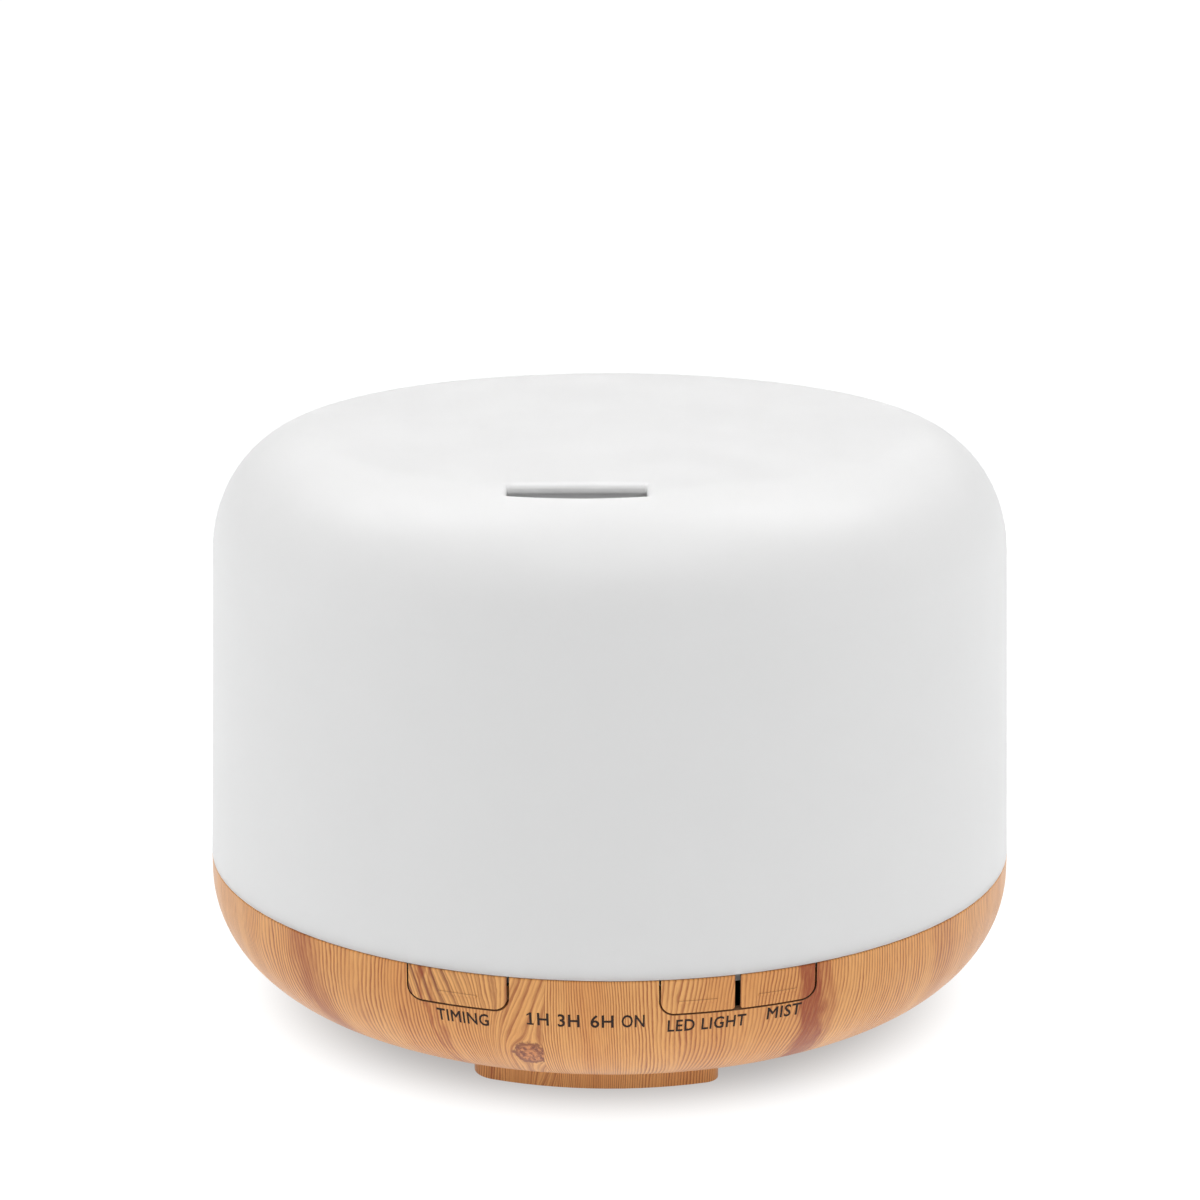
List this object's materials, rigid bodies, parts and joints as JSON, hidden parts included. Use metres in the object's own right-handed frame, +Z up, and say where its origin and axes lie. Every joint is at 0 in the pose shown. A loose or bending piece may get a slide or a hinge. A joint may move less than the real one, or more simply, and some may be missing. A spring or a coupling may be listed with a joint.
{
  "type": "ultrasonic essential oil diffuser",
  "caption": "Round tabletop ultrasonic essential oil diffuser: white lift-off cover with an off-centre mist slot, wood-grain base with press buttons, water tank inside.",
  "frame": {"origin": "centre of the body on the surface that the feet stand on", "axes": "+Z up, -Y towards the front with the buttons, +X to the right seen from the front; the power inlet faces +Y"},
  "size_m": [0.168, 0.168, 0.121],
  "materials": {
    "wood_grain": "satin wood-grain film on moulded plastic, upright pine grain",
    "white_cover": "smooth satin white",
    "tank_plastic": "slightly translucent white moulded polypropylene",
    "rubber": "matte soft rubber",
    "silicone": "matte silicone",
    "foam": "closed-cell foam",
    "steel": "zinc-plated",
    "brass_ceramic": "polished transducer plate",
    "bronze": "sintered bronze",
    "grey_plastic": "moulded",
    "circuit_board": "green solder mask",
    "lamp": "clear epoxy over a yellow phosphor",
    "clear_plastic": "clear moulded acrylic",
    "black_plastic": "moulded",
    "white_plastic": "moulded nylon",
    "aluminium": "extruded, bare",
    "ferrite": "dull sintered",
    "copper": "enamelled winding",
    "wire_insulation": "smooth insulation"
  },
  "bodies": {
    "base": {"base_shell": "wood_grain", "housing_screws": "steel", "tank": "tank_plastic", "tank_deck": "tank_plastic", "tank_posts": "tank_plastic", "air_riser": "tank_plastic", "duct_cap": "tank_plastic", "piezo_disc": "brass_ceramic", "piezo_gasket": "silicone", "piezo_retainer": "grey_plastic", "piezo_screws": "steel", "led_board": "circuit_board", "led_chips": "lamp", "led_board_screws": "steel", "main_board": "circuit_board", "main_board_screws": "steel", "heat_sink": "aluminium", "power_transistor": "black_plastic", "inductors": "ferrite", "capacitors": "black_plastic", "control_chip": "black_plastic", "wire_connectors": "white_plastic", "key_board": "circuit_board", "key_board_screws": "steel", "indicator_leds": "lamp", "light_guide": "clear_plastic", "fan_frame": "black_plastic", "fan_bearing": "bronze", "fan_stator": "ferrite", "fan_coils": "copper", "fan_screws": "steel", "fan_gasket": "foam", "dc_jack_body": "black_plastic", "dc_jack_pin": "steel", "dc_jack_contact": "steel", "jack_board": "circuit_board", "piezo_leads": "wire_insulation", "led_leads": "wire_insulation", "key_leads": "wire_insulation", "fan_leads": "wire_insulation", "power_leads": "wire_insulation", "foot_pad_front": "rubber", "foot_pad_right": "rubber", "foot_pad_left": "rubber", "timing_switch_case": "black_plastic", "light_switch_case": "black_plastic", "mist_switch_case": "black_plastic"},
    "cover": {"top_cover": "white_cover", "mist_nozzle": "white_cover"},
    "splash_cover": {"splash_cover": "tank_plastic"},
    "timing_button": {"timing_button": "wood_grain", "timing_switch_stem": "white_plastic"},
    "light_button": {"light_button": "wood_grain", "light_switch_stem": "white_plastic"},
    "mist_button": {"mist_button": "wood_grain", "mist_switch_stem": "white_plastic"},
    "fan_rotor": {"fan_rotor": "black_plastic", "fan_shaft": "steel", "fan_magnet": "ferrite"}
  },
  "joints": [
    {"name": "cover_lift", "type": "slide", "parent": "base", "child": "cover", "axis": [0, 0, 1], "range_m": [0, 0.12]},
    {"name": "splash_cover_lift", "type": "slide", "parent": "base", "child": "splash_cover", "axis": [0, 0, 1], "range_m": [0, 0.036]},
    {"name": "timing_press", "type": "slide", "parent": "base", "child": "timing_button", "axis": [0, 1, 0], "range_m": [0, 0.0006], "stiffness_N_per_m": 3000},
    {"name": "light_press", "type": "slide", "parent": "base", "child": "light_button", "axis": [0, 1, 0], "range_m": [0, 0.0006], "stiffness_N_per_m": 3000},
    {"name": "mist_press", "type": "slide", "parent": "base", "child": "mist_button", "axis": [0, 1, 0], "range_m": [0, 0.0006], "stiffness_N_per_m": 3000},
    {"name": "fan_spin", "type": "hinge", "parent": "base", "child": "fan_rotor", "pos_m": [0, 0.037, 0.0135], "axis": [0, 0, 1], "continuous": true}
  ],
  "couplings": [
    {"joint": "splash_cover_lift", "follows": "cover_lift", "ratio": 0.3}
  ]
}
